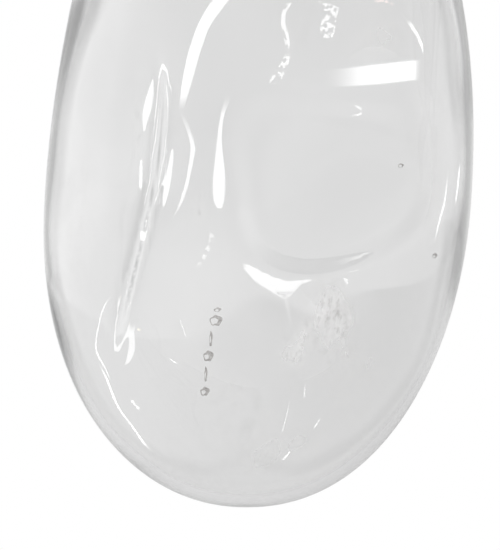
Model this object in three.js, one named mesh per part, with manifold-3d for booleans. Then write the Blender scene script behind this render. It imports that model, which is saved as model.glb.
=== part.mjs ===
// A tubulated retort of one litre: a long egg-shaped bulb of blown glass, whose top bends over
// into a drooping, tapering neck, with a short upright socket (the tubulure) and its ground stopper.
// Millimetres, +Z up. The origin is the lowest point of the bulb, where it sits in its support ring.
// The neck leaves towards +X, and XZ is the plane of symmetry.

import * as THREE from 'three';
import { mergeVertices } from 'three/addons/utils/BufferGeometryUtils.js';
import Module from 'manifold-3d';

const wasm = await Module();
wasm.setup();

// Driving dimensions
const BULB_WIDTH = 130; // outside, at its widest level
const WIDEST_HEIGHT = 95; // of that level, above the lowest point
const UPPER_HALF_HEIGHT = 146; // vertical half-axis of the ellipse that the upper side walls follow
const BASE_FULLNESS = 2.12; // exponent of the lower outline; 2 would be an ellipse
const LEAN_SHIFT = 6.2; // how far the bulb's axis leans over towards the neck
const LEAN_START = 15; // height where the lean begins
const LEAN_SPAN = 150; // height over which it is reached
const SHOULDER_HEIGHT = 160; // where the round top begins to bend over

const CROTCH_RADIUS = 12; // under the neck, where it leaves the bulb
const NECK_START_SLOPE = 16; // degrees below level
const NECK_END_SLOPE = 28;
const NECK_START_WIDTH = 52; // outside
const NECK_MOUTH_WIDTH = 20; // outside, behind the rim
const NECK_LENGTH = 280;
const NECK_TAPER_POWER = 1.25; // over 1 thins the neck sooner near the bulb
const SHOULDER_PULL = 66; // how far the dome rises straight on from the bulb's far side
const DOME_PULL = 60; // how far it runs straight on into the top of the neck

const SIDE_WALL = 2;
const BASE_WALL = 3.4;
const SHOULDER_WALL = 3.2;
const NECK_WALL = 2.6;
const MOUTH_WALL = 2;
const RIM_SWELL = 1.4; // of the fire-polished rims, beyond the tube
const RIM_LENGTH = 6;
const RIM_PROFILE = [ // shares of the length, back from the end face, and of the swell
  [1, 0],
  [0.6, 0.8],
  [0.25, 1],
  [0, 0.6],
];

const SOCKET_WIDTH = 24; // the tubulure's tube, outside
const SOCKET_RISE = 30; // its rim, above the dome
const TAPER_TOP_WIDTH = 18.8; // ground socket, at its wide end
const TAPER_LENGTH = 26;
const TAPER_RATIO = 0.1; // change of width per length
const GROUND_GAP = 0.3; // between plug and socket
const PLUG_CHAMFER = 1; // round the plug's foot
const PLUG_COLLAR = 1; // how far the plug stands out of the socket at its full width
const SEAL_GAP = 0.3; // where two blown pieces meet

const GRIP_WIDTH = 26; // the stopper's upright penny grip
const GRIP_THICKNESS = 9;
const GRIP_BEVEL = 2.5;
const STEM_RISE = 7; // between the socket's rim and the grip
const STEM_WIDTH = 12;
const STEM_FLARE = 0.6; // share of the stem's rise over which it spreads to the plug

// Fineness
const AROUND = 40;
const BASE_RINGS = 11;
const SIDE_RINGS = 4;
const DOME_RINGS = 9;
const NECK_RINGS = 11;
const GRIP_BEVEL_STEPS = 3;
const OUTLINE_STEPS = 200; // along the dome's outline, where its height is looked up
const MERGE_DISTANCE = 1e-4;

const glass = new THREE.MeshStandardMaterial({ color: 0xe4e8e6, roughness: 0.04, metalness: 0 });
const groundGlass = new THREE.MeshStandardMaterial({ color: 0xdfe4e2, roughness: 0.3, metalness: 0 });

// A point or direction in the plane of symmetry
const at = (x, z) => new THREE.Vector2(x, z);
const heading = (degreesBelowLevel) => {
  const angle = THREE.MathUtils.degToRad(degreesBelowLevel);
  return at(Math.cos(angle), -Math.sin(angle));
};
const rightOf = (direction) => at(direction.y, -direction.x);

// A round section of the glass: its centre, the direction of its neckward or lower side, and radius
const section = (centre, side, radius) => ({ centre, side, radius });

// The bulb, as level sections

const axisShift = (height) =>
  LEAN_SHIFT * THREE.MathUtils.smoothstep(height, LEAN_START, LEAN_START + LEAN_SPAN);

// A level section below the widest one; turn runs from 0 at the lowest point to 90 degrees
function baseSection(turn, wall, baseWall) {
  const height = WIDEST_HEIGHT - (WIDEST_HEIGHT - baseWall) * Math.cos(turn) ** (2 / BASE_FULLNESS);
  const radius = (BULB_WIDTH / 2 - wall) * Math.sin(turn) ** (2 / BASE_FULLNESS);
  return section(at(axisShift(height), height), at(1, 0), radius);
}

function sideRadius(height) {
  const rise = (height - WIDEST_HEIGHT) / UPPER_HALF_HEIGHT;
  return (BULB_WIDTH / 2) * Math.sqrt(1 - rise * rise);
}

const sideWall = (height) =>
  THREE.MathUtils.mapLinear(height, WIDEST_HEIGHT, SHOULDER_HEIGHT, SIDE_WALL, SHOULDER_WALL);

function sideSection(height, inside) {
  const radius = sideRadius(height) - (inside ? sideWall(height) : 0);
  return section(at(axisShift(height), height), at(1, 0), radius);
}

// The dome: sections that fan round the crotch under the neck, from level to square across the neck

const shoulderCentre = at(axisShift(SHOULDER_HEIGHT), SHOULDER_HEIGHT);
const shoulderRadius = sideRadius(SHOULDER_HEIGHT);
const shoulderNear = shoulderCentre.clone().add(at(shoulderRadius, 0));
const shoulderFar = shoulderCentre.clone().sub(at(shoulderRadius, 0));

// How the side wall leans inwards at the shoulder, per height
const shoulderLean = (sideRadius(SHOULDER_HEIGHT - 1) - sideRadius(SHOULDER_HEIGHT + 1)) / 2;
const nearRise = at(-shoulderLean, 1).normalize();
const farRise = at(shoulderLean, 1).normalize();

const crotchCentre = shoulderNear.clone().addScaledVector(rightOf(nearRise), CROTCH_RADIUS);
const neckStartHeading = heading(NECK_START_SLOPE);
const neckUnder = crotchCentre.clone().addScaledVector(rightOf(neckStartHeading), -CROTCH_RADIUS);
const neckOver = neckUnder.clone().addScaledVector(rightOf(neckStartHeading), -NECK_START_WIDTH);

const crotchStart = shoulderNear.clone().sub(crotchCentre).angle();
const crotchEnd = neckUnder.clone().sub(crotchCentre).angle();
const domeOutline = new THREE.CubicBezierCurve(
  shoulderFar,
  shoulderFar.clone().addScaledVector(farRise, SHOULDER_PULL),
  neckOver.clone().addScaledVector(neckStartHeading, -DOME_PULL),
  neckOver,
);

function domeSection(share, inside) {
  const angle = THREE.MathUtils.lerp(crotchStart, crotchEnd, share);
  const under = crotchCentre.clone().add(at(Math.cos(angle), Math.sin(angle)).multiplyScalar(CROTCH_RADIUS));
  const over = domeOutline.getPoint(share);
  const wall = THREE.MathUtils.lerp(SHOULDER_WALL, NECK_WALL, share);
  const centre = under.clone().add(over).multiplyScalar(0.5);
  const radius = under.distanceTo(over) / 2 - (inside ? wall : 0);
  return section(centre, under.sub(over).normalize(), radius);
}

// The neck: sections square to a drooping axis

const neckStart = neckUnder.clone().add(neckOver).multiplyScalar(0.5);
const neckBend = neckStart.clone().addScaledVector(neckStartHeading, NECK_LENGTH / 2);
const neckEnd = neckBend.clone().addScaledVector(heading(NECK_END_SLOPE), NECK_LENGTH / 2);
const neckAxis = new THREE.QuadraticBezierCurve(neckStart, neckBend, neckEnd);

function neckSection(share, inside, swell = 0) {
  const along = neckAxis.getTangent(share);
  const outer = THREE.MathUtils.lerp(NECK_MOUTH_WIDTH, NECK_START_WIDTH, (1 - share) ** NECK_TAPER_POWER) / 2;
  const wall = THREE.MathUtils.lerp(NECK_WALL, MOUTH_WALL, share);
  return section(neckAxis.getPoint(share), rightOf(along), inside ? outer - wall : outer + swell);
}

// Closed bodies from sections

const steps = (from, to, count) =>
  Array.from({ length: count + 1 }, (_, i) => THREE.MathUtils.lerp(from, to, i / count));

function ringPoint({ centre, side, radius }, turn) {
  const out = radius * Math.cos(turn);
  return [centre.x + side.x * out, radius * Math.sin(turn), centre.y + side.y * out];
}

// Joins each section to the next. A looped list closes on itself; another begins and ends at a
// section of no radius, which is a single point.
function loft(sections, looped) {
  const positions = [];
  const indices = [];
  const rings = sections.map((each) => {
    const first = positions.length / 3;
    const isPoint = each.radius === 0;
    for (let i = 0; i < (isPoint ? 1 : AROUND); i++) {
      positions.push(...ringPoint(each, (2 * Math.PI * i) / AROUND));
    }
    return (i) => (isPoint ? first : first + (i % AROUND));
  });
  const pairs = looped ? rings.length : rings.length - 1;
  for (let k = 0; k < pairs; k++) {
    const here = rings[k];
    const next = rings[(k + 1) % rings.length];
    for (let i = 0; i < AROUND; i++) {
      const corners = [here(i), here(i + 1), next(i + 1), next(i)];
      if (corners[0] !== corners[1]) indices.push(corners[0], corners[1], corners[2]);
      if (corners[2] !== corners[3]) indices.push(corners[0], corners[2], corners[3]);
    }
  }
  const geometry = new THREE.BufferGeometry();
  geometry.setAttribute('position', new THREE.Float32BufferAttribute(positions, 3));
  geometry.setIndex(indices);
  return geometry;
}

function toSolid(geometry) {
  const bare = geometry.clone();
  bare.deleteAttribute('normal');
  bare.deleteAttribute('uv');
  const merged = mergeVertices(bare, MERGE_DISTANCE);
  return new wasm.Manifold(
    new wasm.Mesh({
      numProp: 3,
      vertProperties: new Float32Array(merged.attributes.position.array),
      triVerts: new Uint32Array(merged.index.array),
    }),
  );
}

function toGeometry(solid) {
  const { vertProperties, triVerts } = solid.getMesh();
  const geometry = new THREE.BufferGeometry();
  geometry.setAttribute('position', new THREE.BufferAttribute(new Float32Array(vertProperties), 3));
  geometry.setIndex(new THREE.BufferAttribute(new Uint32Array(triVerts), 1));
  geometry.computeVertexNormals();
  return geometry;
}

// A lathe turned about the upright line through the tubulure; outline points are [radius, height]
function turned(outline) {
  const points = outline.map(([radius, height]) => new THREE.Vector2(radius, height));
  return new THREE.LatheGeometry(points, AROUND).rotateX(Math.PI / 2);
}

function bulbSections(inside) {
  const wall = inside ? SIDE_WALL : 0;
  const baseWall = inside ? BASE_WALL : 0;
  const base = steps(0, Math.PI / 2, BASE_RINGS).map((turn) => baseSection(turn, wall, baseWall));
  const sides = steps(WIDEST_HEIGHT, SHOULDER_HEIGHT, SIDE_RINGS).map((height) => sideSection(height, inside));
  const dome = steps(0, 1, DOME_RINGS).map((share) => domeSection(share, inside));
  return [...base, ...sides.slice(1), ...dome.slice(1)];
}

// The tubulure stands on the bulb's leaning axis; its foot follows the dome
const SOCKET_X = LEAN_SHIFT;
const domeTopAt = (x) => {
  const points = domeOutline.getPoints(OUTLINE_STEPS);
  return points.find((point) => point.x >= x).y;
};
const SOCKET_RIM = domeTopAt(SOCKET_X) + SOCKET_RISE;
const SOCKET_FOOT = domeTopAt(SOCKET_X) - SOCKET_WIDTH;

function makeBulb() {
  const shell = toSolid(loft([...bulbSections(false), ...bulbSections(true).reverse()], false));
  const holeRadius = SOCKET_WIDTH / 2 + SEAL_GAP;
  const drill = turned([
    [0, SOCKET_FOOT],
    [holeRadius, SOCKET_FOOT],
    [holeRadius, SOCKET_RIM],
    [0, SOCKET_RIM],
  ]).translate(SOCKET_X, 0, 0);
  return toGeometry(shell.subtract(toSolid(drill)));
}

function makeNeck() {
  const first = SEAL_GAP / NECK_LENGTH;
  const nearRim = 1 - RIM_LENGTH / NECK_LENGTH;
  const plain = steps(first, nearRim, NECK_RINGS);
  const outside = plain.slice(0, -1).map((share) => neckSection(share, false));
  const rim = RIM_PROFILE.map(([back, swell]) =>
    neckSection(THREE.MathUtils.lerp(1, nearRim, back), false, swell * RIM_SWELL),
  );
  const inside = [...plain, 1].map((share) => neckSection(share, true));
  return loft([...outside, ...rim, ...inside.reverse()], true);
}

function makeTubulure() {
  const outer = SOCKET_WIDTH / 2;
  const taperTop = TAPER_TOP_WIDTH / 2;
  const taperFoot = taperTop - (TAPER_RATIO * TAPER_LENGTH) / 2;
  const rim = RIM_PROFILE.map(([back, swell]) => [outer + swell * RIM_SWELL, SOCKET_RIM - back * RIM_LENGTH]);
  const tube = turned([
    [taperFoot, SOCKET_FOOT],
    [outer, SOCKET_FOOT],
    ...rim,
    [taperTop, SOCKET_RIM],
    [taperFoot, SOCKET_RIM - TAPER_LENGTH],
    [taperFoot, SOCKET_FOOT],
  ]).translate(SOCKET_X, 0, 0);
  const hollow = loft([...bulbSections(true), neckSection(0, true), { ...neckSection(0, true), radius: 0 }], false);
  return toGeometry(toSolid(tube).subtract(toSolid(hollow)));
}

function makeStopper() {
  const top = TAPER_TOP_WIDTH / 2 - GROUND_GAP;
  const narrowing = TAPER_RATIO / 2;
  const plugFoot = SOCKET_RIM - TAPER_LENGTH + PLUG_CHAMFER;
  const gripCentre = SOCKET_RIM + STEM_RISE + GRIP_WIDTH / 2;
  const plug = turned([
    [0, plugFoot],
    [top - narrowing * TAPER_LENGTH - PLUG_CHAMFER, plugFoot],
    [top - narrowing * (TAPER_LENGTH - PLUG_CHAMFER), plugFoot + PLUG_CHAMFER],
    [top, SOCKET_RIM],
    [top, SOCKET_RIM + PLUG_COLLAR],
    [STEM_WIDTH / 2, SOCKET_RIM + STEM_RISE * STEM_FLARE],
    [STEM_WIDTH / 2, gripCentre],
    [0, gripCentre],
  ]).translate(SOCKET_X, 0, 0);
  const disc = new THREE.Shape().absarc(0, 0, GRIP_WIDTH / 2 - GRIP_BEVEL, 0, 2 * Math.PI);
  const grip = new THREE.ExtrudeGeometry(disc, {
    depth: GRIP_THICKNESS - 2 * GRIP_BEVEL,
    bevelThickness: GRIP_BEVEL,
    bevelSize: GRIP_BEVEL,
    bevelSegments: GRIP_BEVEL_STEPS,
    curveSegments: AROUND / 2,
  })
    .translate(0, 0, GRIP_BEVEL - GRIP_THICKNESS / 2)
    .rotateX(Math.PI / 2)
    .translate(SOCKET_X, 0, gripCentre);
  return toGeometry(toSolid(plug).add(toSolid(grip)));
}

function piece(name, geometry, material) {
  const mesh = new THREE.Mesh(geometry, material.clone());
  mesh.name = name;
  return mesh;
}

const retort = new THREE.Group();
retort.add(
  piece('bulb', makeBulb(), glass),
  piece('neck', makeNeck(), glass),
  piece('tubulure', makeTubulure(), glass),
  piece('stopper', makeStopper(), groundGlass),
);

export default retort;
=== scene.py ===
import math

import bmesh
import bpy
import numpy as np
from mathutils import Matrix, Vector


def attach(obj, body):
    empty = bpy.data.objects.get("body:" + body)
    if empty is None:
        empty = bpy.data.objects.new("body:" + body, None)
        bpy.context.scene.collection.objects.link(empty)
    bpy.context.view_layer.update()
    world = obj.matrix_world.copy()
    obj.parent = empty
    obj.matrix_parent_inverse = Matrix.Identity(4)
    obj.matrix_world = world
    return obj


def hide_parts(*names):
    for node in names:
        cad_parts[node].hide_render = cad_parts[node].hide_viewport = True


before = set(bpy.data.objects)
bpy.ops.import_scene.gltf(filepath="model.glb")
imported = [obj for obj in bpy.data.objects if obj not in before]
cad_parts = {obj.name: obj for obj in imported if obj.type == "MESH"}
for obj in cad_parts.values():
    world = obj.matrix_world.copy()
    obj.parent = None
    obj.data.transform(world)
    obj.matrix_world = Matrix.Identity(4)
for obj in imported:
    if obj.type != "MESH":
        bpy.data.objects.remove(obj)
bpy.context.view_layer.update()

MM = 0.001

# The retort's outline, in millimetres, as the glass was blown: the same form as the CAD pieces

BULB_WIDTH = 129.8
WIDEST_HEIGHT = 95
UPPER_HALF_HEIGHT = 146
BASE_FULLNESS = 2.12
LEAN_SHIFT = 6.2
LEAN_START = 15
LEAN_SPAN = 150
SHOULDER_HEIGHT = 160

CROTCH_RADIUS = 12
NECK_START_SLOPE = 16
NECK_END_SLOPE = 28
NECK_START_WIDTH = 52
NECK_MOUTH_WIDTH = 20
NECK_LENGTH = 280
NECK_TAPER_POWER = 1.25
SHOULDER_PULL = 66
DOME_PULL = 60

SIDE_WALL = 2
BASE_WALL = 3.4
SHOULDER_WALL = 3.2
NECK_WALL = 2.6
MOUTH_WALL = 2
RIM_SWELL = 1.4
RIM_LENGTH = 6
RIM_PROFILE = [(1, 0), (0.8, 0.45), (0.55, 0.85), (0.3, 1), (0.12, 0.9), (0.03, 0.6), (0, 0.3)]  # back, swell

SOCKET_WIDTH = 24
SOCKET_RISE = 30
TAPER_TOP_WIDTH = 18.8
TAPER_LENGTH = 26
TAPER_RATIO = 0.1
GROUND_GAP = 0.15
FILLET_REACH = 6.5
FILLET_RISE = 7
FILLET_SINK = 0.9  # how deep the fillet's edge starts in the dome
SEAL_DEPTH = 2.4  # how deep the tube stands in the dome
BORE_PASS = 12  # how far the bore's cutter reaches below the dome's top

GRIP_WIDTH = 26
GRIP_THICKNESS = 9
STEM_RISE = 7
STEM_WIDTH = 12
PLUG_EDGE = 1.1  # the rounded edge round the plug's foot
GRIP_EDGE = 2.6
GRIP_HOLLOW = 0.9
SKIN_GAP = 0.1  # keeps the finished glass just inside its CAD size
LATHE_TURNS = 96

# Where the near wall sank and was pushed while soft: places seen from the front, across and up, and depths
CREASE_PULLS = [(-26.5, 142), (-19.5, 116), (-29, 86), (-39.3, 45)]
CREASE_FOOT = 40
CREASE_HEAD = 140
CREASE_DEPTH = 2.8
CREASE_STEP = 2.1  # across, from lip to foot, on the outside
CREASE_STEP_INSIDE = 7  # the glass flowed thicker there, so the inside is rounder
CREASE_RELAX = 11  # how far the wall takes to come back out past it

DISH_CENTRE = (26, 99)
DISH_HALF_SIZE = (27.5, 22.5)
DISH_DEPTH = 1.6
DISH_SQUARENESS = 3
DISH_TILT = 5  # degrees, up to the right
DISH_LIP = 0.34  # across the lip, as a share of the dish's half size
DISH_LIP_INSIDE = 0.6

WAVES = [  # direction in degrees, length, height and phase of the soft waves in the wall
    (12, 61, 0.22, 0.4), (74, 47, 0.2, 2.1), (131, 38, 0.14, 4.4), (158, 83, 0.3, 1.2), (40, 27, 0.05, 3.3),
]

BULB_END = 72
BULB_END_FADE = 12
STILL_RADIUS = 20  # within this the thick foot of the bulb keeps its round form
FREE_RADIUS = 62  # past this it is fully uneven
SIDE_FADE = 1.8  # how fast the unevenness grows from the sides of the bulb to its front and back
FAR_SINK = 0.8
INSIDE_SHIFT = 20  # degrees and phase by which the waves of the inner face differ from the outer's
FAR_SHIFT = 50
FAR_INSIDE_SHIFT = 65

# Small ripples left by the blower's tools: place seen from the front, half length and half width, degrees
# of turn from level, and height
RIPPLES = [
    ((-44, 53), 9, 1.8, 80, 0.16), ((-41, 41), 6, 1.6, -60, 0.14), ((-34.5, 27), 10, 1.8, -50, 0.16),
    ((-18.6, 55.5), 4.6, 1.5, -72, 0.12),
    ((-21.3, 45.6), 2.4, 1.3, -35, 0.14), ((-33, 32.6), 2.6, 1.3, -48, 0.14),
    ((16.8, 37), 3.6, 1.4, 85, 0.14), ((11.4, 29), 6, 1.5, 76, 0.14), ((20.6, 27.2), 2.8, 1.3, 60, 0.12),
    ((11.6, 17.4), 2.8, 1.3, 50, 0.12), ((60, 92), 13, 1.8, 84, 0.16),
]

# Dried film on the inner face: place seen from the front, half sizes, lean and strength
FILM_PATCHES = [
    ("film_right", (24.5, 57), 9.5, 17, -3, 1.0), ("film_middle", (13.5, 51), 6, 15, 3, 0.8),
    ("film_left", (-14, 84), 5, 14, 2, 0.7), ("film_low", (-2, 33), 16, 12, 0, 0.35),
    ("film_high", (-30, 120), 9, 17, 0, 0.3), ("film_wall", (-48, 84), 7, 30, 0, 0.35),
]

# Soft pale haze on the inner face, a near-white veil that makes the glass look lighter there: place seen from
# the front, half sizes, lean and strength
HAZE_PATCHES = [
    ("haze_right", (27, 50), 17, 26, -6, 1.0), ("haze_middle", (-8, 52), 14, 30, 4, 0.8),
    ("haze_high", (-14, 118), 11, 26, 3, 0.7), ("haze_low", (6, 20), 26, 11, 0, 0.8),
    ("haze_top_right", (30, 140), 22, 12, 0, 0.8), ("haze_wall_right", (54, 104), 7, 30, 0, 0.8),
]

FILM_GAP = 0.35  # between the inner face and the film, pale haze and drop marks that lie on it

# Dried drops on the inner face: place seen from the front, half sizes, thickness
MARKS = [
    ("drop_mark_1", (-9.1, 57.5), 1.25, 1.35, 0.42), ("drop_mark_2", (-8.5, 60.6), 0.7, 0.5, 0.3),
    ("drop_mark_3", (-11.3, 47.2), 0.95, 1.2, 0.45), ("drop_mark_4", (-12.3, 36.9), 0.85, 1.0, 0.4),
    ("drop_mark_5", (-10.4, 52.2), 0.3, 1.6, 0.16), ("drop_mark_6", (-11.9, 41.9), 0.28, 1.5, 0.16),
    ("drop_mark_7", (44.5, 102.5), 0.6, 0.5, 0.2), ("drop_mark_8", (54.8, 76.3), 0.5, 0.6, 0.25),
]

GLASS_IOR = 1.473
GLASS_DEPTH_COLOUR = "#868585"  # of a long way through the glass
GLASS_DEPTH = 8

AROUND = 210
CROWDING = 0.8  # how much closer the mesh's lines stand at the front than at the back
BASE_ROWS = 100
SIDE_ROWS = 74
DOME_ROWS = 26
NECK_ROWS = 18


def smooth(share):
    share = np.clip(share, 0, 1)
    return share * share * (3 - 2 * share)


def blend(low, high, share):
    return low + (high - low) * share


def heading(degrees_below_level):
    turn = math.radians(degrees_below_level)
    return np.array([math.cos(turn), -math.sin(turn)])


def right_of(way):
    return np.array([way[1], -way[0]])


# Round sections of the glass: centre (x, z), direction of the neckward or lower side (x, z), radius
# and wall

def axis_shift(height):
    return LEAN_SHIFT * smooth((height - LEAN_START) / LEAN_SPAN)


def side_radius(height):
    rise = (height - WIDEST_HEIGHT) / UPPER_HALF_HEIGHT
    return BULB_WIDTH / 2 * math.sqrt(1 - rise * rise)


def base_section(turn):
    height = WIDEST_HEIGHT * (1 - math.cos(turn) ** (2 / BASE_FULLNESS))
    radius = BULB_WIDTH / 2 * math.sin(turn) ** (2 / BASE_FULLNESS)
    wall = blend(BASE_WALL, SIDE_WALL, smooth(height / (WIDEST_HEIGHT * 0.7)))
    return (axis_shift(height), height), (1, 0), radius, wall


def side_section(height):
    share = (height - WIDEST_HEIGHT) / (SHOULDER_HEIGHT - WIDEST_HEIGHT)
    wall = blend(SIDE_WALL, SHOULDER_WALL, smooth((share - 0.3) / 0.7))
    return (axis_shift(height), height), (1, 0), side_radius(height), wall


shoulder = side_radius(SHOULDER_HEIGHT)
shoulder_centre = np.array([axis_shift(SHOULDER_HEIGHT), SHOULDER_HEIGHT])
shoulder_near = shoulder_centre + [shoulder, 0]
shoulder_far = shoulder_centre - [shoulder, 0]
shoulder_lean = (side_radius(SHOULDER_HEIGHT - 1) - side_radius(SHOULDER_HEIGHT + 1)) / 2
near_rise = np.array([-shoulder_lean, 1]) / math.hypot(shoulder_lean, 1)
far_rise = near_rise * [-1, 1]
crotch_centre = shoulder_near + right_of(near_rise) * CROTCH_RADIUS
neck_under = crotch_centre - right_of(heading(NECK_START_SLOPE)) * CROTCH_RADIUS
neck_over = neck_under - right_of(heading(NECK_START_SLOPE)) * NECK_START_WIDTH
crotch_start, crotch_end = (
    math.atan2(*(point - crotch_centre)[::-1]) % math.tau for point in (shoulder_near, neck_under)
)
dome_pulls = [
    shoulder_far,
    shoulder_far + far_rise * SHOULDER_PULL,
    neck_over - heading(NECK_START_SLOPE) * DOME_PULL,
    neck_over,
]
neck_start = (neck_under + neck_over) / 2
neck_bend = neck_start + heading(NECK_START_SLOPE) * NECK_LENGTH / 2
neck_end = neck_bend + heading(NECK_END_SLOPE) * NECK_LENGTH / 2


def bezier(pulls, share):
    while len(pulls) > 1:
        pulls = [blend(a, b, share) for a, b in zip(pulls, pulls[1:])]
    return pulls[0]


def dome_section(share):
    turn = blend(crotch_start, crotch_end, share)
    under = crotch_centre + np.array([math.cos(turn), math.sin(turn)]) * CROTCH_RADIUS
    over = bezier(dome_pulls, share)
    width = np.linalg.norm(under - over)
    return (under + over) / 2, (under - over) / width, width / 2, blend(SHOULDER_WALL, NECK_WALL, share)


def neck_section(share):
    centre = bezier([neck_start, neck_bend, neck_end], share)
    along = blend(neck_bend - neck_start, neck_end - neck_bend, share)
    along = along / np.linalg.norm(along)
    radius = blend(NECK_MOUTH_WIDTH, NECK_START_WIDTH, (1 - share) ** NECK_TAPER_POWER) / 2
    return centre, right_of(along), radius, blend(NECK_WALL, MOUTH_WALL, share)


def around_the_glass():
    """The turns of the mesh's lengthwise lines, which crowd together on the near side of the bulb."""
    turn = np.linspace(-math.pi, math.pi, AROUND, endpoint=False)
    return turn - CROWDING * np.sin(turn) - math.pi / 2


def skin(sections):
    """Rows of points round the sections, as an array of rows, columns and x, y, z."""
    turn = around_the_glass()
    rows = []
    for centre, side, radius, _ in sections:
        out = radius * np.cos(turn)
        row = [centre[0] + side[0] * out, radius * np.sin(turn), centre[1] + side[1] * out]
        rows.append(np.stack(row, 1))
    return np.array(rows)


def outward(points):
    """The unit normals of a skin. Its first row may be a single point, which faces down."""
    down_rows = np.gradient(points, axis=0)
    round_rows = np.roll(points, -1, 1) - np.roll(points, 1, 1)
    normals = np.cross(round_rows, down_rows)
    length = np.linalg.norm(normals, axis=2, keepdims=True)
    normals = normals / np.maximum(length, 1e-12)
    normals[0] = (0, 0, -1)
    return normals


crease = np.array([bezier([np.array(p) for p in CREASE_PULLS], share) for share in np.linspace(1, 0, 60)])


def crease_line(height):
    """Where the long crease of the near wall lies, for each height."""
    return np.interp(height, crease[:, 1], crease[:, 0])


def waves(x, z, shift):
    """The unevenness of glass that was blown and turned by hand."""
    total = 0
    for degrees, length, height, phase in WAVES:
        way = np.radians(degrees + shift)
        along = (x * np.cos(way) + z * np.sin(way)) * math.tau / length
        total = total + height * np.sin(along + phase + shift)
    return total


def creased(x, z, is_inside):
    """The long crease: a steep step down on its right side, which comes back out slowly."""
    past = x - crease_line(z)
    along = (z - CREASE_FOOT) / (CREASE_HEAD - CREASE_FOOT)
    depth = CREASE_DEPTH * smooth(along * 3) * smooth((1 - along) * 3)
    step = CREASE_STEP_INSIDE if is_inside else CREASE_STEP
    return depth * smooth(past / step + 0.5) * np.exp(-np.maximum(past, 0) / CREASE_RELAX)


def dished(x, z, is_inside):
    """The shallow dish with rounded corners and an uneven edge."""
    aside, above = x - DISH_CENTRE[0], z - DISH_CENTRE[1]
    along, over = heading(-DISH_TILT)
    across = np.abs(aside * along + above * over) / DISH_HALF_SIZE[0]
    up = np.abs(above * along - aside * over) / DISH_HALF_SIZE[1]
    reach = (across ** DISH_SQUARENESS + up ** DISH_SQUARENESS) ** (1 / DISH_SQUARENESS)
    reach = reach + 0.1 * np.sin(aside / 11 + above / 23) + 0.06 * np.sin(above / 9 - aside / 17)
    lip = DISH_LIP_INSIDE if is_inside else DISH_LIP
    return DISH_DEPTH * smooth((1 - reach) / lip + 0.5)


def rippled(x, z):
    """The small tool marks, which stand a little proud."""
    total = 0
    for (ripple_x, ripple_z), half_length, half_width, degrees, height in RIPPLES:
        along_x, along_z = heading(-degrees)
        along = ((x - ripple_x) * along_x + (z - ripple_z) * along_z) / half_length
        across = ((z - ripple_z) * along_x - (x - ripple_x) * along_z) / half_width
        total = total - height * np.exp(-2 * (along ** 2 + across ** 2))
    return total


def pushed_in(x, z, is_inside):
    """How far the near wall was pushed in while soft, at each place seen from the front."""
    dents = creased(x, z, is_inside) + dished(x, z, is_inside) + waves(x, z, INSIDE_SHIFT if is_inside else 0)
    return dents if is_inside else dents + rippled(x, z)


def freedom(radius):
    """How freely the glass moved while soft: not at all at the thick foot."""
    return smooth((radius - STILL_RADIUS) / (FREE_RADIUS - STILL_RADIUS))


def soften(points, sections, is_inside):
    """The skin with its dents and waves, which fade out towards the sides and foot of the bulb."""
    radius = np.array([section[2] for section in sections])[:, None]
    facing = points[:, :, 1] / np.maximum(radius, 1)
    x, z = points[:, :, 0], points[:, :, 2]
    free = smooth((BULB_END - x) / BULB_END_FADE) * freedom(radius)
    near = smooth(np.clip(-facing, 0, 1) * SIDE_FADE)
    far = smooth(np.clip(facing, 0, 1) * SIDE_FADE)
    made = points.copy()
    made[:, :, 1] += free * near * pushed_in(x, z, is_inside)
    made[:, :, 1] -= free * far * (waves(x, z, FAR_INSIDE_SHIFT if is_inside else FAR_SHIFT) + FAR_SINK)
    return made


def front_of_bulb(x, z):
    """The point of the near wall at a place seen from the front, in millimetres."""
    if z < WIDEST_HEIGHT:
        depth = (WIDEST_HEIGHT - z) / WIDEST_HEIGHT
        radius = BULB_WIDTH / 2 * (1 - depth ** BASE_FULLNESS) ** (1 / BASE_FULLNESS)
    else:
        radius = side_radius(z)
    aside = x - axis_shift(z)
    y = -math.sqrt(max(radius * radius - aside * aside, 0))
    near = smooth(-y / radius * SIDE_FADE) * freedom(radius)
    return np.array([x, y + near * float(creased(x, z, False) + waves(x, z, 0)), z])


def closed_body(rows):
    """Vertices and faces of a closed body from rows that begin and end at a single point."""
    columns = rows.shape[1]
    inner = rows[1:-1].reshape(-1, 3)
    points = np.vstack([rows[0, :1], inner, rows[-1, :1]])
    ring = np.arange(columns)
    after = np.roll(ring, -1)
    faces = [(0, 1 + b, 1 + a) for a, b in zip(ring, after)]
    for row in range(rows.shape[0] - 3):
        here, there = 1 + row * columns, 1 + (row + 1) * columns
        faces += [(here + a, here + b, there + b, there + a) for a, b in zip(ring, after)]
    last, end = 1 + (rows.shape[0] - 3) * columns, len(points) - 1
    faces += [(last + a, last + b, end) for a, b in zip(ring, after)]
    return points, faces


def new_piece(name, points, faces, material):
    mesh = bpy.data.meshes.new(name)
    mesh.from_pydata((np.asarray(points) * MM).tolist(), [], faces)
    mesh.validate()
    mesh.shade_smooth()
    made = bpy.data.objects.new(name, mesh)
    bpy.context.scene.collection.objects.link(made)
    made.data.materials.append(material)
    return made


def linear(hex_colour):
    """An sRGB hex colour as linear RGBA."""
    parts = [int(hex_colour[i:i + 2], 16) / 255 for i in (1, 3, 5)]
    return [c / 12.92 if c <= 0.04045 else ((c + 0.055) / 1.055) ** 2.4 for c in parts] + [1]


def add(tree, kind, inputs=None, **settings):
    """Adds a node with its settings, and sets or links its inputs."""
    made = tree.nodes.new(kind)
    for name, value in settings.items():
        setattr(made, name, value)
    for key, value in (inputs or {}).items():
        if isinstance(value, bpy.types.NodeSocket):
            tree.links.new(value, made.inputs[key])
        else:
            made.inputs[key].default_value = value
    return made


def new_material(name):
    material = bpy.data.materials.new(name)
    material.use_nodes = True
    material.node_tree.nodes.clear()
    return material, material.node_tree


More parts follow.
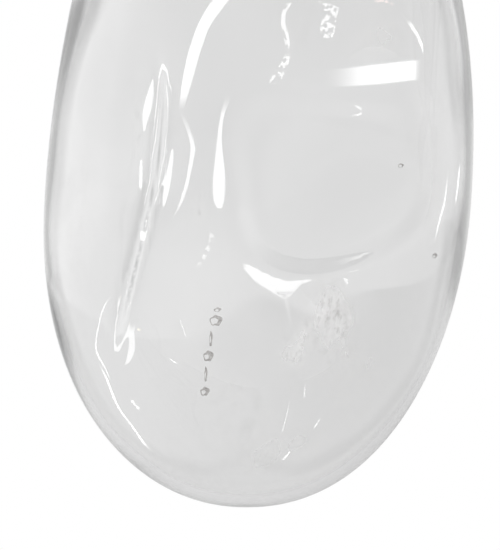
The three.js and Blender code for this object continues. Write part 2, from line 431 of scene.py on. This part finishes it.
def ground_stopper_glass():
    """Pressed clear glass whose plug is ground: the frosting gives the grey-white band inside the socket.
    The grit is 0.1 mm, and is drawn at 1.1 mm because a finer one wouldn't show."""
    material, tree = new_material("pressed clear glass with a ground plug")
    place = add(tree, "ShaderNodeTexCoord").outputs["Object"]
    height = add(tree, "ShaderNodeSeparateXYZ", {0: place}).outputs["Z"]
    grit = add(tree, "ShaderNodeTexNoise", {"Vector": place, "Scale": 1 / (1.1 * MM), "Detail": 2.0})
    ground = add(tree, "ShaderNodeMapRange", {
        "Value": height, "From Min": SOCKET_RIM * MM + 0.0004, "From Max": SOCKET_RIM * MM - 0.0002,
        "To Min": 0.02, "To Max": 0.45,
    })
    dust = add(tree, "ShaderNodeMath", {0: grit.outputs["Fac"], 1: ground.outputs[0]}, operation="MULTIPLY")
    body = add(tree, "ShaderNodeBsdfPrincipled", {
        "Base Color": linear("#f7f8f7"), "IOR": GLASS_IOR, "Transmission Weight": 1.0,
        "Roughness": dust.outputs[0],
    })
    depth = add(tree, "ShaderNodeVolumeAbsorption", {
        "Color": linear(GLASS_DEPTH_COLOUR), "Density": GLASS_DEPTH,
    })
    add(tree, "ShaderNodeOutputMaterial", {"Surface": body.outputs["BSDF"], "Volume": depth.outputs[0]})
    return material


def blown_glass():
    """Clear borosilicate glass, blown and fire-polished: almost colourless, with a thin grey line just inside
    its outline where the light goes a long way through the wall. Handling leaves 70 mm wide patches a
    little less bright, and the socket's inside is ground."""
    material, tree = new_material("blown borosilicate glass")
    place = add(tree, "ShaderNodeTexCoord").outputs["Object"]
    film = add(tree, "ShaderNodeTexNoise", {"Vector": place, "Scale": 1 / (70 * MM), "Detail": 3.0})
    rough = add(tree, "ShaderNodeMapRange", {
        "Value": film.outputs["Fac"], "From Min": 0.45, "From Max": 0.75, "To Min": 0.0, "To Max": 0.05,
    })
    height = add(tree, "ShaderNodeSeparateXYZ", {0: place}).outputs["Z"]
    level = add(tree, "ShaderNodeVectorMath", {0: place, 1: (1, 1, 0)}, operation="MULTIPLY")
    off_axis = add(tree, "ShaderNodeVectorMath", {
        0: level.outputs[0], 1: (SOCKET_X * MM, 0, 0),
    }, operation="DISTANCE")
    in_bore = add(tree, "ShaderNodeMath", {
        0: off_axis.outputs["Value"], 1: (TAPER_TOP_WIDTH / 2 + 0.1) * MM,
    }, operation="LESS_THAN")
    in_socket = add(tree, "ShaderNodeMath", {
        0: height, 1: (SOCKET_RIM - TAPER_LENGTH) * MM,
    }, operation="GREATER_THAN")
    ground = add(tree, "ShaderNodeMath", {
        0: in_bore.outputs[0], 1: in_socket.outputs[0],
    }, operation="MULTIPLY")
    frosted = add(tree, "ShaderNodeMath", {0: ground.outputs[0], 1: 0.3}, operation="MULTIPLY")
    finish = add(tree, "ShaderNodeMath", {
        0: rough.outputs[0], 1: frosted.outputs[0],
    }, operation="MAXIMUM")
    body = add(tree, "ShaderNodeBsdfPrincipled", {
        "Base Color": linear("#fafafa"), "IOR": GLASS_IOR, "Transmission Weight": 1.0,
        "Roughness": finish.outputs[0],
    })
    depth = add(tree, "ShaderNodeVolumeAbsorption", {
        "Color": linear(GLASS_DEPTH_COLOUR), "Density": GLASS_DEPTH,
    })
    add(tree, "ShaderNodeOutputMaterial", {"Surface": body.outputs["BSDF"], "Volume": depth.outputs[0]})
    return material


SOCKET_X = LEAN_SHIFT
dome_line = np.array([bezier(dome_pulls, share) for share in np.linspace(0, 1, 201)])
DOME_TOP = float(np.interp(SOCKET_X, dome_line[:, 0], dome_line[:, 1]))
SOCKET_RIM = DOME_TOP + SOCKET_RISE

glass = blown_glass()
stopper_glass = ground_stopper_glass()


def lathe(name, profile, material):
    """A closed body turned about the tubulure's upright axis; profile points are (radius, height)."""
    turn = np.linspace(0, math.tau, LATHE_TURNS, endpoint=False)
    rows = []
    for r, height in profile:
        level = np.full(LATHE_TURNS, float(height))
        rows.append(np.stack([SOCKET_X + r * np.cos(turn), r * np.sin(turn), level], 1))
    return new_piece(name, *closed_body(np.array(rows)), material)


def join_solids(base, other, operation):
    """Joins or cuts one closed body with another, which is used up."""
    change = base.modifiers.new(operation, "BOOLEAN")
    change.operation = operation
    change.solver = "MANIFOLD"
    change.object = other
    bpy.context.view_layer.update()
    shape = bpy.data.meshes.new_from_object(base.evaluated_get(bpy.context.evaluated_depsgraph_get()))
    base.modifiers.clear()
    base.data = shape
    bpy.data.objects.remove(other)


def dome_drop(x, y):
    """How much lower the dome's outer face lies here than at the tubulure's axis."""
    return DOME_TOP - np.interp(x, dome_line[:, 0], dome_line[:, 1]) + y ** 2 / BULB_WIDTH


def seal_tubulure(retort):
    """Seals the socket's tube on to the dome with a soft fillet that follows it, and bores it."""
    outer, taper_top = SOCKET_WIDTH / 2, TAPER_TOP_WIDTH / 2
    taper_foot = taper_top - TAPER_RATIO * TAPER_LENGTH / 2
    seal = DOME_TOP - FILLET_SINK
    fillet = [(outer + FILLET_REACH * (1 - math.sin(turn)), seal + FILLET_RISE * (1 - math.cos(turn)))
              for turn in np.linspace(0, math.pi / 2, 14)]
    rim = [(outer + swell * RIM_SWELL, SOCKET_RIM - back * RIM_LENGTH) for back, swell in RIM_PROFILE]
    foot = DOME_TOP - SEAL_DEPTH
    profile = [(0, foot), (outer + FILLET_REACH, foot)] + fillet + rim + [(0, SOCKET_RIM)]
    tube = lathe("tubulure_tube", profile, retort.data.materials[0])
    for vertex in tube.data.vertices:
        x, y, z = vertex.co / MM
        spread = smooth((math.hypot(x - SOCKET_X, y) - outer + 1) / 4)
        vertex.co.z = (z - spread * float(dome_drop(x, y))) * MM
    bore_foot = DOME_TOP - BORE_PASS
    bore_head = SOCKET_RIM + 2
    profile = [(0, bore_foot), (taper_foot, bore_foot), (taper_foot, SOCKET_RIM - TAPER_LENGTH)]
    profile += [(taper_top, SOCKET_RIM), (taper_top, bore_head), (0, bore_head)]
    bore = lathe("tubulure_bore", profile, retort.data.materials[0])
    join_solids(retort, tube, "UNION")
    join_solids(retort, bore, "DIFFERENCE")


def make_stopper():
    """The ground plug, its stem and the upright penny grip, pressed from one piece of glass."""
    top = TAPER_TOP_WIDTH / 2 - GROUND_GAP
    plug_foot = SOCKET_RIM - TAPER_LENGTH + PLUG_EDGE
    foot = top - TAPER_RATIO / 2 * (SOCKET_RIM - plug_foot)
    grip = SOCKET_RIM + STEM_RISE + GRIP_WIDTH / 2 - SKIN_GAP
    stem = STEM_WIDTH / 2
    profile = [(0, plug_foot), (foot - 1.2, plug_foot), (foot - 0.5, plug_foot + 0.15)]
    profile += [(foot - 0.1, plug_foot + 0.5), (foot + 0.05, plug_foot + PLUG_EDGE)]
    profile += [(top, SOCKET_RIM), (top - 0.05, SOCKET_RIM + 0.6)]
    profile += [(blend(top - 0.3, stem, smooth(share)), SOCKET_RIM + 1 + 4 * share)
                for share in np.linspace(0, 1, 10)]
    profile += [(stem * 0.9, grip - 9.5), (3.9, grip - 7), (3.4, grip - 3), (0, grip - 2)]
    stopper = lathe("stopper_glass_body", profile, stopper_glass)
    join_solids(stopper, make_penny_grip(grip), "UNION")
    stopper.data.shade_smooth()
    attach(stopper, "stopper")
    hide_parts("stopper")


def make_penny_grip(height):
    """The upright disc, turned about a level axis, with rounded edges and slightly hollow faces."""
    turn = np.linspace(0, math.tau, LATHE_TURNS, endpoint=False)
    half = GRIP_THICKNESS / 2 - SKIN_GAP
    radius = GRIP_WIDTH / 2 - SKIN_GAP
    disc = [(0, -half + GRIP_HOLLOW), (radius * 0.55, -half + GRIP_HOLLOW - 0.2)]
    disc += [(radius - GRIP_EDGE + GRIP_EDGE * math.sin(t), -half + GRIP_EDGE - GRIP_EDGE * math.cos(t))
             for t in np.linspace(0, math.pi / 2, 9)]
    disc += [(r, -y) for r, y in disc[::-1]]
    rows = []
    for r, y in disc:
        level = np.full(LATHE_TURNS, float(y))
        rows.append(np.stack([SOCKET_X + r * np.cos(turn), level, height + r * np.sin(turn)], 1))
    penny = new_piece("penny_grip", *closed_body(np.array(rows)), stopper_glass)
    penny.data.flip_normals()
    return penny


def retort_sections():
    sections = [base_section(turn) for turn in np.linspace(0, math.pi / 2, BASE_ROWS + 1)]
    sections += [side_section(h) for h in np.linspace(WIDEST_HEIGHT, SHOULDER_HEIGHT, SIDE_ROWS + 1)[1:]]
    sections += [dome_section(share) for share in np.linspace(0, 1, DOME_ROWS + 1)[1:]]
    neck_rows = np.linspace(0, 1 - RIM_LENGTH / NECK_LENGTH, NECK_ROWS + 1)[1:-1]
    sections += [neck_section(share) for share in neck_rows]
    for back, swell in RIM_PROFILE:
        centre, side, radius, wall = neck_section(1 - back * RIM_LENGTH / NECK_LENGTH)
        sections.append((centre, side, radius + swell * RIM_SWELL, wall + swell * RIM_SWELL))
    return sections


def make_retort():
    """The bulb, dome, neck and tubulure, as one body of glass with its two skins."""
    sections = retort_sections()
    blown = skin(sections)
    walls = np.array([section[3] for section in sections])[:, None, None]
    outside = soften(blown, sections, False)
    inside = soften(blown - outward(blown) * walls, sections, True)
    rows = np.concatenate([outside, inside[::-1]])
    retort = new_piece("retort_glass", *closed_body(rows), glass)
    seal_tubulure(retort)
    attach(retort, "glass")
    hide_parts("bulb", "neck", "tubulure")


make_retort()
make_stopper()


def residue():
    """Grey-brown matter left dry on the glass: soft dirty marks that let most of the light through. Its
    grains are 0.2 mm, and are drawn at 1.1 mm because finer ones wouldn't show."""
    material, tree = new_material("dried residue on glass")
    place = add(tree, "ShaderNodeTexCoord").outputs["Object"]
    patchy = add(tree, "ShaderNodeTexNoise", {"Vector": place, "Scale": 1 / (1.1 * MM), "Detail": 3.0})
    shown = add(tree, "ShaderNodeMapRange", {
        "Value": patchy.outputs["Fac"], "From Min": 0.38, "From Max": 0.62, "To Min": 0.03, "To Max": 0.26,
    })
    matter = add(tree, "ShaderNodeBsdfDiffuse", {"Color": linear("#a6a19d"), "Roughness": 0.5})
    veil = add(tree, "ShaderNodeBsdfTransparent", {"Color": linear("#f0efee")})
    mixed = add(tree, "ShaderNodeMixShader", {0: shown.outputs[0], 1: veil.outputs[0], 2: matter.outputs[0]})
    add(tree, "ShaderNodeOutputMaterial", {"Surface": mixed.outputs[0]})
    return material


def near_inside(x, z):
    """The inner face of the near wall at a place seen from the front, in millimetres."""
    here = front_of_bulb(x, z)
    return here[1] + SIDE_WALL + float(dished(np.array(x), np.array(z), False)) + FILM_GAP


def drop_mark(name, centre, radius, height, thickness, material):
    """A dried drop's rim, as a thin uneven ring that lies on the inner face."""
    turns, around = 40, 8
    points = []
    for i in range(turns):
        a = math.tau * i / turns
        wobble = 1 + 0.14 * math.sin(2 * a + radius) + 0.09 * math.sin(5 * a)
        for j in range(around):
            b = math.tau * j / around
            out = 1 + thickness / radius * math.cos(b) * (0.8 + 0.5 * math.sin(a + height))
            x = centre[0] + radius * wobble * out * math.cos(a)
            z = centre[1] + height * wobble * out * math.sin(a)
            points.append((x, near_inside(x, z) + thickness * 0.5 * math.sin(b), z))
    faces = [(i * around + j, i * around + (j + 1) % around, (i + 1) % turns * around + (j + 1) % around,
              (i + 1) % turns * around + j) for i in range(turns) for j in range(around)]
    mark = new_piece(name, points, faces, material)
    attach(mark, "glass")


def milky_layer(name, cloud_width, thickest, grain_colour):
    """A pale milky layer on the glass, patchy and speckled with grains: with grey grains it is dried mineral
    film, and with near-white grains it is a soft pale haze that makes the glass look lighter. The clouds'
    width is in millimetres, and the grains, 0.2 mm, are drawn at 1.6 mm because finer ones wouldn't show."""
    material, tree = new_material(name)
    place = add(tree, "ShaderNodeTexCoord").outputs["Object"]
    stretch = add(tree, "ShaderNodeMapping", {"Vector": place, "Scale": (1.0, 1.0, 0.45)})
    cloud = add(tree, "ShaderNodeTexNoise", {
        "Vector": stretch.outputs[0], "Scale": 1 / (cloud_width * MM), "Detail": 2.5,
    })
    grain = add(tree, "ShaderNodeTexNoise", {
        "Vector": stretch.outputs[0], "Scale": 1 / (1.6 * MM), "Detail": 3.0,
    })
    milky = add(tree, "ShaderNodeMapRange", {
        "Value": cloud.outputs["Fac"], "From Min": 0.4, "From Max": 0.7, "To Min": 0.0, "To Max": thickest,
    })
    cover = add(tree, "ShaderNodeAttribute", attribute_name="cover")
    amount = add(tree, "ShaderNodeMath", {0: milky.outputs[0], 1: cover.outputs["Fac"]}, operation="MULTIPLY")
    shade = add(tree, "ShaderNodeMapRange", {
        "Value": grain.outputs["Fac"], "From Min": 0.3, "From Max": 0.48, "To Min": 0.0, "To Max": 1.0,
    })
    colour = add(tree, "ShaderNodeMix", {
        "Factor": shade.outputs[0], "A": linear(grain_colour), "B": linear("#fbfaf9"),
    }, data_type="RGBA")
    matter = add(tree, "ShaderNodeBsdfDiffuse", {"Color": colour.outputs[2]})
    through = add(tree, "ShaderNodeBsdfTranslucent", {"Color": colour.outputs[2]})
    chalk = add(tree, "ShaderNodeAddShader", {0: matter.outputs[0], 1: through.outputs[0]})
    clear = add(tree, "ShaderNodeBsdfTransparent")
    mixed = add(tree, "ShaderNodeMixShader", {0: amount.outputs[0], 1: clear.outputs[0], 2: chalk.outputs[0]})
    add(tree, "ShaderNodeOutputMaterial", {"Surface": mixed.outputs[0]})
    return material


def film_patch(name, centre, half_width, half_height, lean, strength, material):
    """A thin patch of film on the inner face, strongest in its middle and gone at its edge."""
    count = 28
    points, cover = [], []
    for up in np.linspace(-1, 1, count):
        for aside in np.linspace(-1, 1, count):
            x = centre[0] + half_width * aside + lean * up
            z = centre[1] + half_height * up
            points.append((x, near_inside(x, z) + 0.25, z))
            cover.append(strength * float(smooth((1 - math.hypot(aside, up)) * 1.6)))
    faces = [(a, a + 1, a + count + 1, a + count)
             for i in range(count - 1) for a in range(i * count, i * count + count - 1)]
    patch = new_piece(name, points, faces, material)
    patch.data.attributes.new("cover", "FLOAT", "POINT").data.foreach_set("value", cover)
    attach(patch, "glass")


film = milky_layer("dried mineral film on glass", 8, 0.34, "#b4b1ae")
for name, centre, half_width, half_height, lean, strength in FILM_PATCHES:
    film_patch(name, centre, half_width, half_height, lean, strength, film)
# the pale haze: a near-white veil in soft patches, which makes the glass look lighter there
haze = milky_layer("thin pale haze on glass", 20, 0.3, "#f4f3f2")
for name, centre, half_width, half_height, lean, strength in HAZE_PATCHES:
    film_patch(name, centre, half_width, half_height, lean, strength, haze)

dry = residue()
for name, centre, radius, height, thickness in MARKS:
    drop_mark(name, centre, radius, height, thickness, dry)

# The studio

CAMERA_DISTANCE = 1.15
LIGHT_DISTANCE = 0.9
FLAG = 0.45  # the light off the two grey bands of the cove, left and right behind the glass
LAMP_ROWS = 40
COVE_FLOOR = 4.8  # metres: the flat floor's radius, and the radius of the bend up to the wall
COVE_BEND = 1.8
COVE_HEIGHT = 8
COVE_PEAK = 8.2
COVE_SINK = 0.0005  # keeps the floor just under the glass
COVE_TURNS = 64
COVE_CENTRE = 1e-5  # closes the cove at its middle, above and below
SENSOR_WIDTH = 36
VIEW_HEIGHT = 0.0706
VIEW_CENTRE_X = 0.00091
FRAME_WIDTH = 0.1522


def mirrored(x, z):
    """Where a light must stand for the bulb to mirror it to the camera at this place on its front."""
    here = front_of_bulb(x, z)
    slope_x = front_of_bulb(x + 1, z) - front_of_bulb(x - 1, z)
    slope_z = front_of_bulb(x, z + 1) - front_of_bulb(x, z - 1)
    normal = np.cross(slope_x, slope_z)
    normal /= np.linalg.norm(normal)
    eye = np.array([VIEW_CENTRE_X, -CAMERA_DISTANCE, VIEW_HEIGHT])
    sight = here * MM - eye
    sight /= np.linalg.norm(sight)
    way = sight - 2 * sight.dot(normal) * normal
    above_floor = (z - 8) * MM / max(-way[2], 1e-3)
    return here * MM + way * min(LIGHT_DISTANCE, above_floor)


def course(spots, count):
    """Evenly spaced places on a smooth line through the given ones."""
    spots = np.array(spots, float)
    run = np.concatenate([[0], np.cumsum(np.linalg.norm(np.diff(spots, axis=0), axis=1))])
    even = np.linspace(0, run[-1], count)
    line = np.stack([np.interp(even, run, spots[:, i]) for i in (0, 1)], 1)
    for _ in range(3):
        line[1:-1] = (line[:-2] + 2 * line[1:-1] + line[2:]) / 4
    return line


def light(name, left_edge, right_edge, strength, softness=0.0, fade_start=0.0, fade_end=0.0, broken=0.0,
          colour="#ffffff"):
    """A lamp shaped so that the bulb mirrors it to the main camera between two edges, which are given in
    millimetres across and up the bulb's front. It shows only in the outer surface. broken is the share
    of it that leaves hide."""
    material, tree = new_material(name)
    glow = add(tree, "ShaderNodeAttribute", attribute_name="glow")
    spots = add(tree, "ShaderNodeAttribute", attribute_name="spot")
    leaves = add(tree, "ShaderNodeTexNoise", {
        "Vector": spots.outputs["Vector"], "Scale": 0.62, "Detail": 1.0,
    })
    gaps = add(tree, "ShaderNodeMapRange", {
        "Value": leaves.outputs["Fac"], "From Min": 0.3 + broken * 0.36, "From Max": 0.38 + broken * 0.36,
        "To Min": 0.0 if broken else 1.0, "To Max": 1.0,
    })
    path = add(tree, "ShaderNodeLightPath").outputs
    first = add(tree, "ShaderNodeMath", {0: path["Transmission Depth"], 1: 0.5}, operation="LESS_THAN")
    amount = add(tree, "ShaderNodeMath", {0: glow.outputs["Fac"], 1: first.outputs[0]}, operation="MULTIPLY")
    amount = add(tree, "ShaderNodeMath", {0: amount.outputs[0], 1: gaps.outputs[0]}, operation="MULTIPLY")
    power = add(tree, "ShaderNodeMath", {0: amount.outputs[0], 1: strength}, operation="MULTIPLY")
    shine = add(tree, "ShaderNodeEmission", {"Color": linear(colour), "Strength": power.outputs[0]})
    clear = add(tree, "ShaderNodeBsdfTransparent")
    shown = add(tree, "ShaderNodeMixShader", {0: amount.outputs[0], 1: clear.outputs[0], 2: shine.outputs[0]})
    add(tree, "ShaderNodeOutputMaterial", {"Surface": shown.outputs[0]})
    edge = 0.0 if softness else 1.0
    across = [(0, edge), (softness / 2, 1.0), (1 - softness / 2, 1.0), (1, edge)]
    points, glows, places = [], [], []
    for i, (left, right) in enumerate(zip(course(left_edge, LAMP_ROWS), course(right_edge, LAMP_ROWS))):
        share = i / (LAMP_ROWS - 1)
        ends = smooth(share / fade_start) if fade_start else 1
        ends = ends * (smooth((1 - share) / fade_end) if fade_end else 1)
        for over, level in across:
            place = blend(left, right, over)
            points.append(mirrored(*place))
            places += [place[0], place[1], 0]
            glows.append(level * ends)
    width = len(across)
    faces = [(a, a + 1, a + width + 1, a + width)
             for i in range(LAMP_ROWS - 1) for a in range(i * width, i * width + width - 1)]
    mesh = bpy.data.meshes.new(name)
    mesh.from_pydata([tuple(p) for p in points], [], faces)
    mesh.attributes.new("glow", "FLOAT", "POINT").data.foreach_set("value", glows)
    mesh.attributes.new("spot", "FLOAT_VECTOR", "POINT").data.foreach_set("vector", places)
    mesh.materials.append(material)
    lamp = bpy.data.objects.new(name, mesh)
    bpy.context.scene.collection.objects.link(lamp)
    lamp.visible_camera = False
    lamp.visible_shadow = False


def softbox(name, centre, width, height, strength):
    """A plain square lamp that faces the bulb, for its back, the neck and the stopper."""
    material, tree = new_material(name)
    shine = add(tree, "ShaderNodeEmission", {"Color": linear("#ffffff"), "Strength": strength})
    add(tree, "ShaderNodeOutputMaterial", {"Surface": shine.outputs[0]})
    mesh = bpy.data.meshes.new(name)
    corners = [(-width / 2, -height / 2, 0), (width / 2, -height / 2, 0), (width / 2, height / 2, 0),
               (-width / 2, height / 2, 0)]
    mesh.from_pydata(corners, [], [(0, 1, 2, 3)])
    mesh.materials.append(material)
    box = bpy.data.objects.new(name, mesh)
    bpy.context.scene.collection.objects.link(box)
    box.location = centre
    way = Vector((0, 0, WIDEST_HEIGHT * MM)) - Vector(centre)
    box.rotation_mode = "QUATERNION"
    box.rotation_quaternion = way.to_track_quat("-Z", "Y")
    box.visible_camera = False
    box.visible_transmission = False
    box.visible_shadow = False


def thin_light(name, spots, width, strength):
    """A thin lamp along a line on the bulb's front, faded at both ends."""
    spots = np.array(spots, float)
    ahead = np.gradient(spots, axis=0)
    across = np.stack([-ahead[:, 1], ahead[:, 0]], 1) / np.linalg.norm(ahead, axis=1, keepdims=True)
    light(name, spots - across * width / 2, spots + across * width / 2, strength, 0.0, 0.2, 0.2)


def light_back_and_neck():
    softbox("overhead_softbox", (0.1, 0.3, 1.7), 0.9, 0.5, 5)
    softbox("left_back_softbox", (-0.9, 1.5, 0.9), 0.35, 0.8, 6)
    softbox("right_back_softbox", (1.1, 1.3, 1.0), 0.25, 0.7, 5)


def light_front():
    """The lamps that the bulb's front mirrors to the main camera. They aren't plain studio light."""
    light("curved_lamp",
          [(-4.6, 156), (-11.9, 148.2), (-14.9, 142.2), (-17.4, 134.5), (-18.9, 126.9), (-20.1, 115)],
          [(0.9, 156), (-6.4, 148.2), (-10.7, 142.2), (-13.4, 134.5), (-15.5, 126.9), (-19.3, 115)],
          9, 0.2, 0, 0.2)
    light("upright_lamp",
          [(-5.8, 125.4), (-8.2, 114.8), (-9.4, 105.6), (-10.3, 96.5), (-10, 91.3), (-8.5, 89.8)],
          [(-4.6, 125.4), (-5.2, 114.8), (-5.5, 105.6), (-5.8, 96.5), (-6.1, 91.3), (-7.3, 89.8)],
          9, 0.3, 0.3)
    light("level_lamp",
          [(18.6, 129.4), (28.3, 130.9), (40.5, 132.7), (52.1, 134.5)],
          [(18.6, 123.9), (28.3, 124.5), (40.5, 125.7), (51.6, 127.5)], 9, 0.25, 0.5, 0.1)
    light("wedge_lamp",
          [(-2.1, 74.3), (4.6, 73.4), (11.6, 70), (19.2, 73.7)],
          [(-2.1, 73.6), (2.7, 67.6), (11.2, 62.4), (20.2, 72.4)], 8, 0.35, 0.1, 0.1)
    light("lozenge_lamp",
          [(-27.4, 127.5), (-29.5, 122.4), (-30.7, 117.2), (-30.1, 112.6)],
          [(-26.8, 127.5), (-26.8, 122.4), (-27.4, 118.4), (-29.5, 112.6)], 8, 0.3)
    light("high_lamp_a", [(20.1, 150.4), (22, 146), (20.6, 142), (22, 138.5)],
          [(27.4, 148.6), (26.2, 145), (25.8, 141), (24.5, 138.2)], 8, 0.2, 0.1, 0.1, 0.42)
    light("high_lamp_b", [(11.3, 135.5), (9.5, 131.5), (7, 128), (4.9, 123.8)],
          [(13.1, 134.8), (12, 130.5), (10.4, 127), (8.2, 122.5)], 8, 0.3, 0.1, 0.2, 0.45)
    light("high_lamp_c", [(28.3, 154), (35, 152.5), (43.5, 150)], [(28.3, 153), (35, 150), (43.5, 148.8)],
          6, 0.5, 0.1, 0.1, 0.5, "#ffd9cf")
    light("squiggle_lamp_a", [(30, 81), (32.5, 79.5)], [(30.2, 77.5), (33, 76.5)], 8, 0.2, 0.1, 0.1, 0.4)
    light("squiggle_lamp_b", [(27.7, 71.2), (29.5, 69.5), (29, 67)], [(27.9, 69.5), (28.5, 68), (27.7, 66.5)],
          7, 0.3, 0.1, 0.1, 0.4)
    light("trail_lamp",
          [(-11, 86), (-11.6, 80), (-14, 76), (-16.5, 71)],
          [(-8.5, 86), (-9, 80), (-11, 76), (-14.5, 71)],
          5, 0.6, 0.3, 0.3, 0.5)
    light("wedge_trail_lamp",
          [(8, 66), (10.5, 60), (12.1, 54), (12.6, 49)],
          [(13, 66), (13.6, 60), (13.8, 54), (13.4, 49)],
          2.2, 0.9, 0.2, 0.7)
    light("right_lamp_a", [(58.7, 104), (57.2, 92), (54.3, 77)],
          [(59.6, 104), (58.3, 92), (55, 77)], 6, 0.8, 0.3, 0.3)
    light("right_lamp_b", [(63.2, 105.8), (62.4, 97), (61.6, 89)],
          [(64, 105.8), (63.2, 97), (62, 89)], 5, 0.8, 0.3, 0.3)
    light("cusp_lamp", [(-39.6, 46), (-38, 48.7), (-36, 53.2), (-34.8, 56.7)],
          [(-39.3, 45.7), (-37.6, 48.3), (-35.6, 53), (-34.5, 56.6)], 6, 0.3, 0.2, 0.3)
    light("warm_lamp", [(-32.4, 55.6), (-31, 55.3)],
          [(-32.1, 54), (-30.6, 53.8)], 6, 0.8, 0.3, 0.3, 0, "#fff0cc")
    light("pale_lamp", [(27, 64), (32, 63), (36, 60)],
          [(26, 56), (31, 52), (35, 54)], 1.6, 0.9, 0.4, 0.4, 0.5)
    light("pale_lamp_low", [(15, 70), (17, 58), (19, 46)],
          [(25, 70), (25, 58), (23.5, 46)], 1.4, 0.9, 0.4, 0.4, 0.6)
    thin_light("corner_lamp", [(46.6, 145.8), (50, 141), (51.8, 137), (52.7, 133.9)], 1.0, 9)
    thin_light("foot_lamp_a",
               [(-39, 66), (-42.6, 60), (-44.4, 52.4), (-44.4, 47.8), (-41.1, 42.6), (-39.6, 37.1)], 0.5, 8)
    thin_light("foot_lamp_b", [(-44.7, 46.3), (-37.7, 31), (-30.4, 20.4), (-27.1, 17)], 0.6, 8)
    thin_light("foot_lamp_c", [(12.5, 35), (11.5, 29), (10, 23.4)], 0.6, 8)
    thin_light("foot_lamp_d", [(17, 40.2), (16.9, 37), (16.7, 33.5)], 0.9, 8)
    thin_light("foot_lamp_e", [(21.6, 29.5), (20.5, 27), (19.2, 25)], 0.6, 8)
    thin_light("foot_lamp_f", [(13, 19.2), (11.8, 17.3), (10, 15.8)], 0.7, 8)
    thin_light("foot_lamp_g", [(-19.5, 60.3), (-18.5, 55), (-17, 51.1)], 0.6, 8)
    thin_light("foot_lamp_h", [(-23.4, 47.2), (-21.3, 45.5), (-19.2, 44.1)], 1.0, 8)
    thin_light("foot_lamp_i", [(-34.7, 34.7), (-32.8, 32.5), (-31, 30.4)], 0.9, 8)


def make_cove():
    """The white surround: white straight to the camera, dimmer through the glass and in reflections."""
    material, tree = new_material("white cove")
    path = add(tree, "ShaderNodeLightPath").outputs
    spot = add(tree, "ShaderNodeTexCoord").outputs["Object"]
    axes = add(tree, "ShaderNodeSeparateXYZ", {0: spot}).outputs
    turn = add(tree, "ShaderNodeMath", {0: axes["X"], 1: axes["Y"]}, operation="ARCTAN2")
    share = add(tree, "ShaderNodeMapRange", {
        "Value": turn.outputs[0], "From Min": -math.pi / 2, "From Max": math.pi / 2,
    })
    ramp = add(tree, "ShaderNodeValToRGB", {0: share.outputs[0]})
    stops = [(0.0, 1.0), (0.31, 1.0), (0.35, FLAG), (0.4, FLAG), (0.445, 0.96), (0.5, 0.83), (0.56, 0.76),
             (0.6, FLAG), (0.65, FLAG), (0.69, 1.0), (1.0, 1.0)]
    for place, level in stops[1:-1]:
        ramp.color_ramp.elements.new(place)
    for element, (place, level) in zip(ramp.color_ramp.elements, stops):
        element.position = place
        element.color = (level, level, level, 1)
    reach = add(tree, "ShaderNodeVectorMath", {0: spot}, operation="LENGTH")
    wall = add(tree, "ShaderNodeMapRange", {
        "Value": reach.outputs["Value"], "From Min": 2.0, "From Max": 3.0,
    }, interpolation_type="SMOOTHSTEP")
    floor = add(tree, "ShaderNodeMapRange", {
        "Value": axes["X"], "From Min": -0.05, "From Max": 0.09, "To Min": 0.83, "To Max": 0.71,
    })
    side = add(tree, "ShaderNodeMix", {
        "Factor": wall.outputs[0], "A": floor.outputs[0], "B": ramp.outputs[0],
    }, data_type="FLOAT")
    room = add(tree, "ShaderNodeMapRange", {
        "Value": axes["Y"], "From Min": -1.0, "From Max": 0.4, "To Min": 0.25, "To Max": 0.9,
    })
    through = add(tree, "ShaderNodeMix", {"Factor": path["Is Camera Ray"], "A": side.outputs[0], "B": 1.0},
                  data_type="FLOAT")
    away = add(tree, "ShaderNodeMix", {
        "Factor": path["Is Reflection Ray"], "A": through.outputs[0], "B": room.outputs[0],
    }, data_type="FLOAT")
    glow = add(tree, "ShaderNodeEmission", {"Color": linear("#ffffff"), "Strength": away.outputs[0]})
    add(tree, "ShaderNodeOutputMaterial", {"Surface": glow.outputs[0]})
    bm = bmesh.new()
    profile = [(COVE_CENTRE, 0)]
    profile += [(COVE_FLOOR + COVE_BEND * math.sin(t), COVE_BEND - COVE_BEND * math.cos(t))
                for t in np.linspace(0, math.pi / 2, 12)]
    profile += [(COVE_FLOOR + COVE_BEND, COVE_HEIGHT), (COVE_CENTRE, COVE_PEAK)]
    angles = np.linspace(0, math.tau, COVE_TURNS, endpoint=False)
    rings = []
    for r, z in profile:
        level = z - COVE_SINK
        rings.append([bm.verts.new((r * math.cos(a), r * math.sin(a), level)) for a in angles])
    for low, high in zip(rings, rings[1:]):
        for i in range(COVE_TURNS):
            j = (i + 1) % COVE_TURNS
            bm.faces.new((low[i], low[j], high[j], high[i]))
    mesh = bpy.data.meshes.new("cove")
    bm.to_mesh(mesh)
    mesh.materials.append(material)
    cove = bpy.data.objects.new("cove", mesh)
    bpy.context.scene.collection.objects.link(cove)


def place_camera():
    camera = bpy.data.objects.new("camera", bpy.data.cameras.new("camera"))
    bpy.context.scene.collection.objects.link(camera)
    camera.location = (VIEW_CENTRE_X, -CAMERA_DISTANCE, VIEW_HEIGHT)
    camera.rotation_euler = (math.pi / 2, 0, 0)
    camera.data.sensor_fit = "HORIZONTAL"
    camera.data.sensor_width = SENSOR_WIDTH
    camera.data.lens = SENSOR_WIDTH * CAMERA_DISTANCE / FRAME_WIDTH
    camera.data.clip_end = 20
    bpy.context.scene.camera = camera
    bpy.context.scene.view_settings.view_transform = "Standard"


light_back_and_neck()
light_front()
make_cove()
place_camera()
